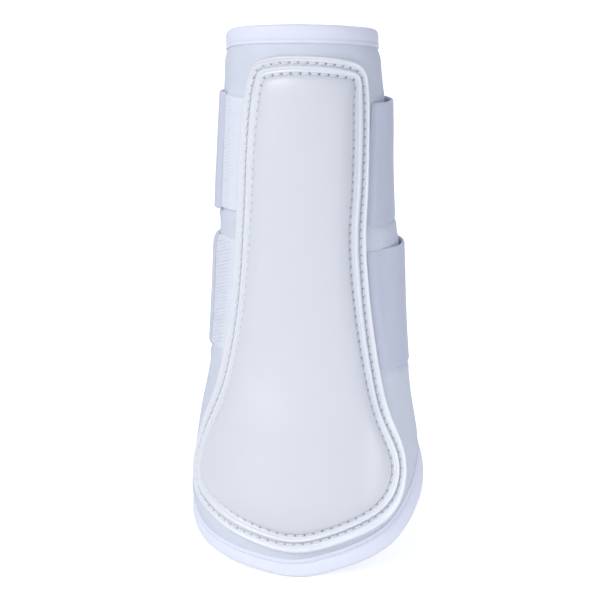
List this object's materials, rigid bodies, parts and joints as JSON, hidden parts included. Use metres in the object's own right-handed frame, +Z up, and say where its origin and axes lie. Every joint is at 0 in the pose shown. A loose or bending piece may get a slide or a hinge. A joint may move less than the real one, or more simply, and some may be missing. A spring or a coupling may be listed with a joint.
{
  "type": "horse leg boot",
  "caption": "Closed neoprene horse leg boot with a domed, double-stitched strike pad on its front, bound edges, and wide elastic straps that wrap the back and fasten with hook tape.",
  "frame": {"origin": "on the axis of the horse's leg that the boot wraps, level with the lowest point of its hem", "axes": "+Z up the leg, the strike pad faces -Y, +X is to the right when the pad faces the viewer"},
  "size_m": [0.1024, 0.0963, 0.2321],
  "materials": {
    "neoprene": "matt jersey-faced neoprene",
    "lining": "matt knitted lining",
    "tape": "fine woven binding tape",
    "pad": "satin synthetic leather",
    "foam": "closed-cell foam",
    "elastic": "ribbed woven elastic",
    "strap": "brushed loop-faced strap",
    "hook": "hook tape"
  },
  "bodies": {
    "front": {"front_panel": "neoprene", "front_lining": "lining", "front_top_binding": "tape", "front_bottom_binding": "tape", "strike_pad_welt": "pad", "strike_pad_core": "foam", "strike_pad_cover": "pad", "upper_elastic": "elastic", "lower_elastic": "elastic", "upper_strap_front": "strap", "lower_strap_front": "strap"},
    "left_flap": {"left_panel": "neoprene", "left_lining": "lining", "left_top_binding": "tape", "left_bottom_binding": "tape", "left_edge_binding": "tape", "upper_strap_left": "strap", "lower_strap_left": "strap"},
    "right_flap": {"right_panel": "neoprene", "right_lining": "lining", "right_top_binding": "tape", "right_bottom_binding": "tape", "right_edge_binding": "tape"},
    "upper_strap": {"upper_strap_back": "strap"},
    "lower_strap": {"lower_strap_back": "strap"},
    "upper_tab": {"upper_strap_tab": "strap", "upper_hook_patch": "hook"},
    "lower_tab": {"lower_strap_tab": "strap", "lower_hook_patch": "hook"}
  },
  "joints": [
    {"name": "boot_opening", "type": "hinge", "parent": "front", "child": "left_flap", "pos_m": [-0.04479, 0.00572, 0.125], "axis": [0.0785, -0.0112, 0.9968], "range_deg": [0, 70]},
    {"name": "right_flap_opening", "type": "hinge", "parent": "front", "child": "right_flap", "pos_m": [0.04496, 0.00572, 0.125], "axis": [0.0976, 0.0111, -0.9952], "range_deg": [0, 70]},
    {"name": "upper_strap_swing", "type": "hinge", "parent": "left_flap", "child": "upper_strap", "pos_m": [-0.00191, 0.03555, 0.17591], "axis": [-0.024, -0.0299, 0.9993], "range_deg": [0, 91]},
    {"name": "lower_strap_swing", "type": "hinge", "parent": "left_flap", "child": "lower_strap", "pos_m": [-0.00117, 0.039, 0.11552], "axis": [-0.001, -0.06, 0.9982], "range_deg": [0, 91]},
    {"name": "upper_tab_peel", "type": "hinge", "parent": "upper_strap", "child": "upper_tab", "pos_m": [0.03937, 0.00187, 0.17447], "axis": [-0.0604, -0.0016, 0.9982], "range_deg": [0, 100]},
    {"name": "lower_tab_peel", "type": "hinge", "parent": "lower_strap", "child": "lower_tab", "pos_m": [0.0442, 0.00205, 0.11407], "axis": [-0.0743, -0.0032, 0.9972], "range_deg": [0, 100]}
  ],
  "couplings": [
    {"joint": "right_flap_opening", "follows": "boot_opening", "ratio": 1},
    {"joint": "upper_strap_swing", "follows": "boot_opening", "ratio": 1.3},
    {"joint": "lower_strap_swing", "follows": "boot_opening", "ratio": 1.3}
  ]
}
